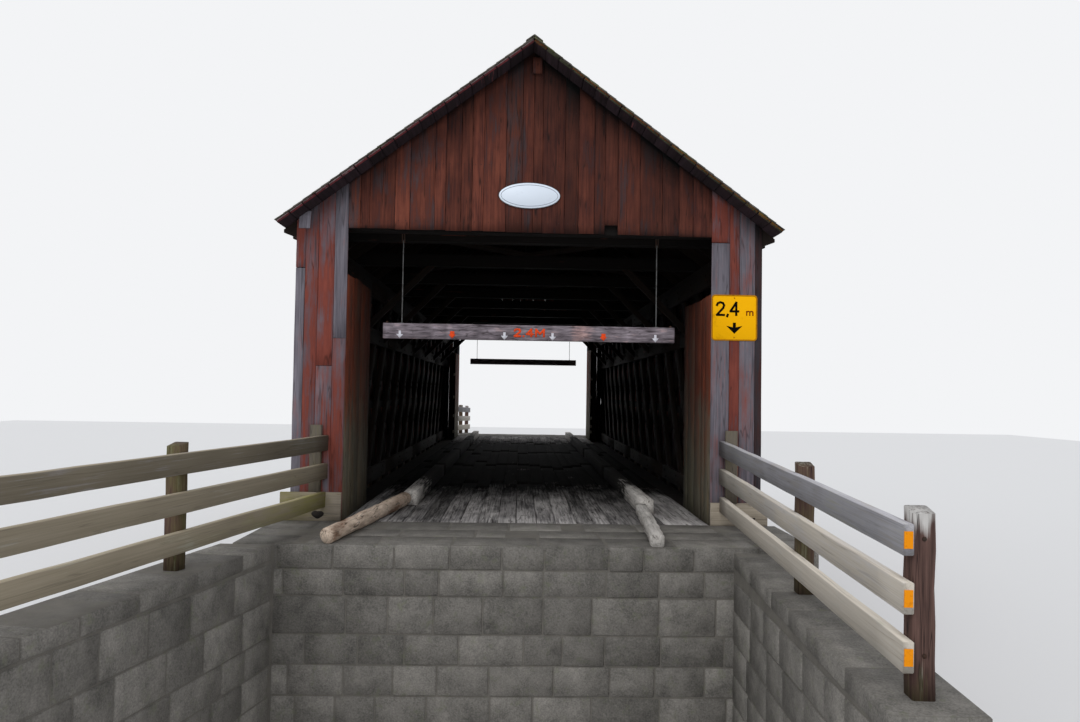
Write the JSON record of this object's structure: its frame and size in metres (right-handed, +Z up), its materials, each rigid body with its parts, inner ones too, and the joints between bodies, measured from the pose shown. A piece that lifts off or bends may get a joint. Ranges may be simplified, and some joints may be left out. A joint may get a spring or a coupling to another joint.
{
  "type": "covered bridge",
  "caption": "Timber covered bridge: lattice trusses, boarded walls and gable roof over a plank roadway, with hanging clearance bars, rail fences and stone abutments.",
  "frame": {"origin": "on the ground under the middle of the bridge, at the foot of the abutments", "axes": "+Z up, +Y along the roadway from the near portal, which has the signs, to the far one, +X to the right"},
  "size_m": [8.656, 33.1856, 9.12],
  "materials": {
    "masonry": "matte",
    "frame_timber": "matte",
    "deck_timber": "matte",
    "kerb_timber": "matte",
    "roof_board": "matte",
    "shingles": "matte",
    "wall_board": "matte",
    "lining_board": "matte",
    "forged_steel": "matte",
    "bar_timber": "matte",
    "white_sign": "satin",
    "yellow_sign": "satin",
    "reflector": "gloss",
    "fence_timber": "matte"
  },
  "bodies": {
    "structure": {"abutment_far": "masonry", "abutment_near": "masonry", "base_planks": "fence_timber", "bolster_timbers": "frame_timber", "chord_planks": "frame_timber", "clearance_sign": "yellow_sign", "curb_timbers": "kerb_timber", "deck_planking": "deck_timber", "end_posts": "frame_timber", "far_gable": "wall_board", "far_piers": "wall_board", "fence_posts": "fence_timber", "fence_rails": "fence_timber", "floor_beams": "frame_timber", "floor_stringers": "frame_timber", "gable_frames": "frame_timber", "hanger_brackets": "forged_steel", "kerb_log": "kerb_timber", "kerb_timber": "kerb_timber", "knee_braces": "frame_timber", "lattice_web_left": "frame_timber", "lattice_web_right": "frame_timber", "lining_strips": "frame_timber", "lower_bracing": "frame_timber", "near_gable": "wall_board", "near_piers": "wall_board", "oval_sign": "white_sign", "portal_linings": "lining_board", "portal_posts": "frame_timber", "rafters": "frame_timber", "rail_cleats": "fence_timber", "reflectors": "reflector", "ridge_block": "wall_board", "ridge_board": "frame_timber", "ridge_cap": "shingles", "roof_boards_left": "roof_board", "roof_boards_right": "roof_board", "running_planks": "deck_timber", "shingle_roof_left": "shingles", "shingle_roof_right": "shingles", "side_walls": "wall_board", "tie_beams": "frame_timber", "upper_bracing": "frame_timber", "wall_nailers": "frame_timber", "wall_plates": "frame_timber", "wing_walls": "masonry"},
    "near_swing_bar": {"near_bar": "bar_timber", "near_hangers": "forged_steel"},
    "far_swing_bar": {"far_bar": "bar_timber", "far_hangers": "forged_steel"}
  },
  "joints": [
    {"name": "near_bar_swing", "type": "hinge", "parent": "structure", "child": "near_swing_bar", "pos_m": [0, -10.15, 6.48], "axis": [1, 0, 0], "range_deg": [-60, 60]},
    {"name": "far_bar_swing", "type": "hinge", "parent": "structure", "child": "far_swing_bar", "pos_m": [0, 10.15, 6.48], "axis": [1, 0, 0], "range_deg": [-60, 60]}
  ]
}
